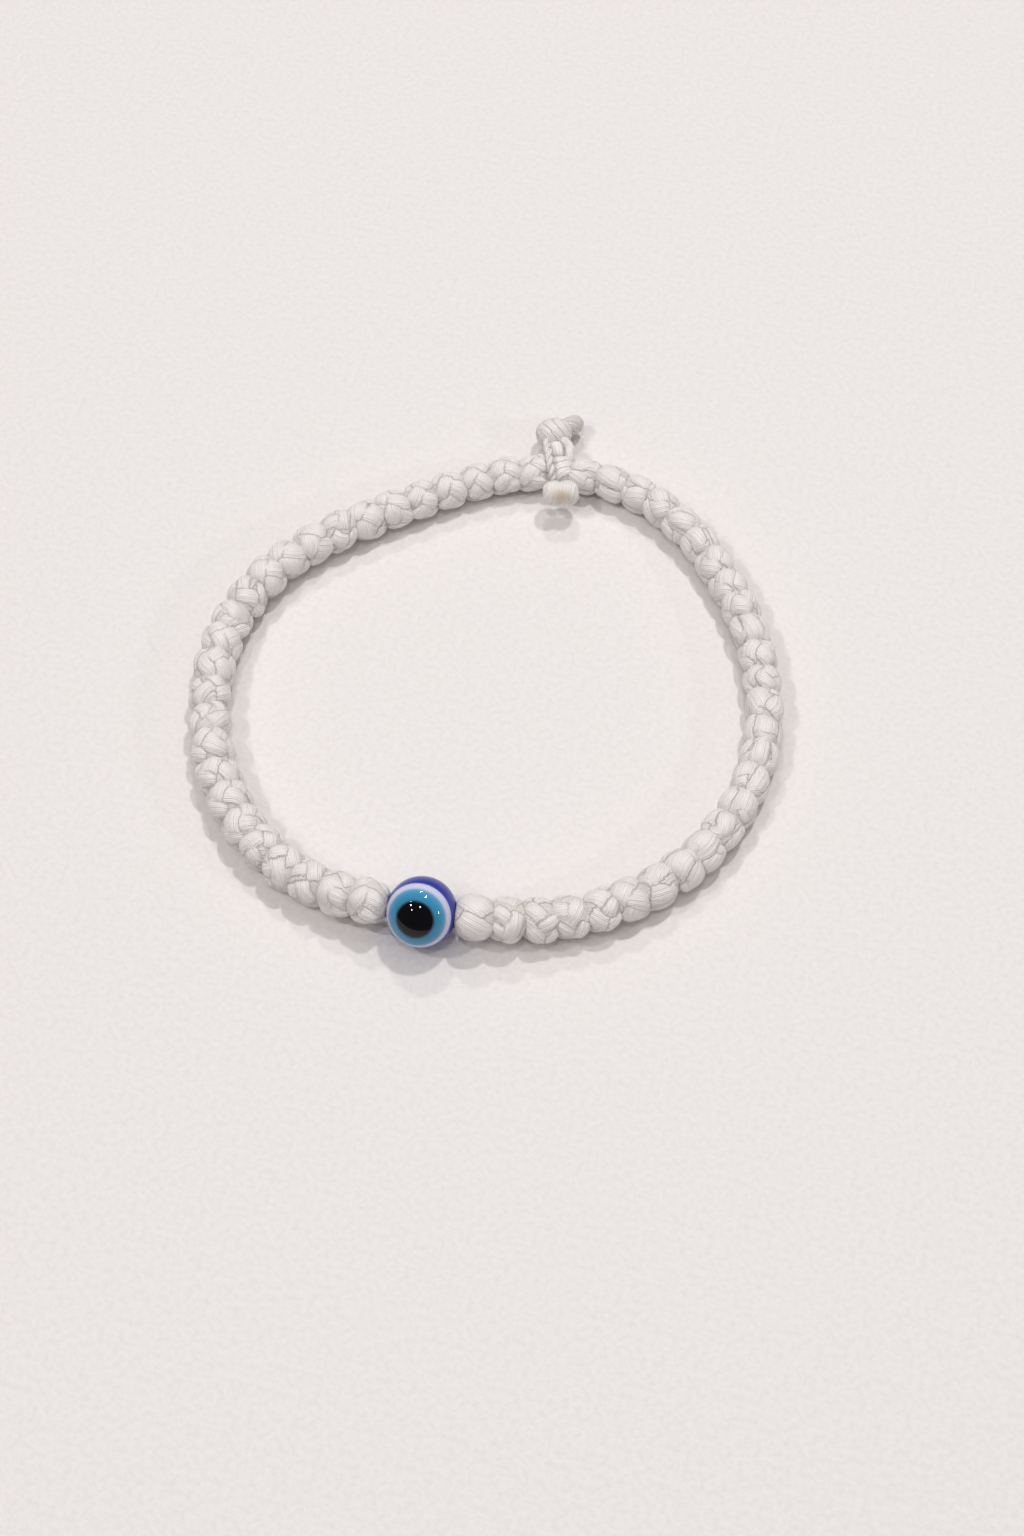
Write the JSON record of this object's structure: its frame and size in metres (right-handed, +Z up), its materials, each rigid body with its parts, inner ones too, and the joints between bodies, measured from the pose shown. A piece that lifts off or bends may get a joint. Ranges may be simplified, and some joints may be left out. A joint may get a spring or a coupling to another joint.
{
  "type": "evil eye bracelet",
  "caption": "Closed wrist band of small white cord knots, with one round evil eye bead that turns on its cord and a knotted cross closure opposite it.",
  "frame": {"origin": "bottom centre of the object's box: the middle of the ring on the surface it lies on", "axes": "+Z up, -Y towards the bead, +Y towards the knotted cross, X across the ring"},
  "size_m": [0.0698, 0.0777, 0.008],
  "materials": {
    "white_cord": "waxed, slightly glossy, tightly knotted",
    "melted_cord": "melted end, slightly translucent",
    "bead_blue": "polished cobalt resin",
    "bead_white": "polished white resin",
    "bead_light_blue": "polished light blue resin",
    "bead_black": "polished black resin"
  },
  "bodies": {
    "closure": {"closing_knot_right": "white_cord", "closing_knot_left": "white_cord", "crossing_knot": "white_cord"},
    "right_1": {"knots_right_01": "white_cord", "knots_right_02": "white_cord", "knots_right_03": "white_cord"},
    "right_2": {"knots_right_04": "white_cord", "knots_right_05": "white_cord", "knots_right_06": "white_cord"},
    "right_3": {"knots_right_07": "white_cord", "knots_right_08": "white_cord", "knots_right_09": "white_cord"},
    "right_4": {"knots_right_10": "white_cord", "knots_right_11": "white_cord", "knots_right_12": "white_cord"},
    "right_5": {"knots_right_13": "white_cord", "bead_cord": "white_cord"},
    "left_1": {"knots_left_01": "white_cord", "knots_left_02": "white_cord", "knots_left_03": "white_cord"},
    "left_2": {"knots_left_04": "white_cord", "knots_left_05": "white_cord", "knots_left_06": "white_cord"},
    "left_3": {"knots_left_07": "white_cord", "knots_left_08": "white_cord", "knots_left_09": "white_cord"},
    "left_4": {"knots_left_10": "white_cord", "knots_left_11": "white_cord", "knots_left_12": "white_cord"},
    "left_5": {"knots_left_13": "white_cord"},
    "eye_bead": {"eye_body": "bead_blue", "eye_white": "bead_white", "eye_iris": "bead_light_blue", "eye_pupil": "bead_black"},
    "neck": {"neck_knot": "white_cord", "link_strand_left": "white_cord", "link_strand_right": "white_cord"},
    "outer_arm": {"outer_knot": "white_cord", "cut_tail": "melted_cord"},
    "inner_arm": {"inner_knot": "white_cord"}
  },
  "joints": [
    {"name": "band_squeeze", "type": "hinge", "parent": "closure", "child": "right_1", "pos_m": [0.00617, 0.02963, 0.00218], "axis": [0, 0, 1], "range_deg": [-9, 9]},
    {"name": "band_flex_right_2", "type": "hinge", "parent": "right_1", "child": "right_2", "pos_m": [0.02376, 0.01851, 0.00222], "axis": [0, 0, 1], "range_deg": [-4.21, 4.21]},
    {"name": "band_flex_right_3", "type": "hinge", "parent": "right_2", "child": "right_3", "pos_m": [0.03244, -0.00074, 0.00223], "axis": [0, 0, 1], "range_deg": [-7.24, 7.24]},
    {"name": "band_flex_right_4", "type": "hinge", "parent": "right_3", "child": "right_4", "pos_m": [0.0277, -0.021, 0.00241], "axis": [0, 0, 1], "range_deg": [-9.05, 9.05]},
    {"name": "band_flex_right_5", "type": "hinge", "parent": "right_4", "child": "right_5", "pos_m": [0.01075, -0.03289, 0.00312], "axis": [0, 0, 1], "range_deg": [-10.98, 10.98]},
    {"name": "band_flex_left_1", "type": "hinge", "parent": "closure", "child": "left_1", "pos_m": [-0.00536, 0.02756, 0.00218], "axis": [0, 0, 1], "range_deg": [-10.83, 10.83]},
    {"name": "band_flex_left_2", "type": "hinge", "parent": "left_1", "child": "left_2", "pos_m": [-0.02303, 0.01435, 0.0024], "axis": [0, 0, 1], "range_deg": [-8.64, 8.64]},
    {"name": "band_flex_left_3", "type": "hinge", "parent": "left_2", "child": "left_3", "pos_m": [-0.03247, -0.00476, 0.00243], "axis": [0, 0, 1], "range_deg": [-7.98, 7.98]},
    {"name": "band_flex_left_4", "type": "hinge", "parent": "left_3", "child": "left_4", "pos_m": [-0.02561, -0.0252, 0.0025], "axis": [0, 0, 1], "range_deg": [-2.74, 2.74]},
    {"name": "band_flex_left_5", "type": "hinge", "parent": "left_4", "child": "left_5", "pos_m": [-0.00656, -0.03497, 0.0038], "axis": [0, 0, 1], "range_deg": [-9.38, 9.38]},
    {"name": "bead_spin", "type": "hinge", "parent": "right_5", "child": "eye_bead", "pos_m": [0.00051, -0.03484, 0.004], "axis": [0.9956, 0.094, 0], "continuous": true},
    {"name": "cross_sway", "type": "hinge", "parent": "closure", "child": "neck", "pos_m": [-0.00022, 0.0312, 0.00218], "axis": [0, 0, 1], "range_deg": [-15, 15]},
    {"name": "outer_arm_lift", "type": "hinge", "parent": "neck", "child": "outer_arm", "pos_m": [-0.00166, 0.03464, 0.00163], "axis": [0.9223, 0.3865, 0], "range_deg": [-20, 30]},
    {"name": "inner_arm_lift", "type": "hinge", "parent": "closure", "child": "inner_arm", "pos_m": [0.00103, 0.02774, 0.00281], "axis": [-0.9575, -0.2884, 0], "range_deg": [-15, 35]}
  ],
  "couplings": [
    {"joint": "band_flex_right_2", "follows": "band_squeeze", "ratio": -0.4591},
    {"joint": "band_flex_right_3", "follows": "band_squeeze", "ratio": -0.7882},
    {"joint": "band_flex_right_4", "follows": "band_squeeze", "ratio": -0.9853},
    {"joint": "band_flex_right_5", "follows": "band_squeeze", "ratio": 1.1964},
    {"joint": "band_flex_left_1", "follows": "band_squeeze", "ratio": -1.1799},
    {"joint": "band_flex_left_2", "follows": "band_squeeze", "ratio": 0.9407},
    {"joint": "band_flex_left_3", "follows": "band_squeeze", "ratio": 0.8698},
    {"joint": "band_flex_left_4", "follows": "band_squeeze", "ratio": 0.2988},
    {"joint": "band_flex_left_5", "follows": "band_squeeze", "ratio": -1.0222}
  ]
}
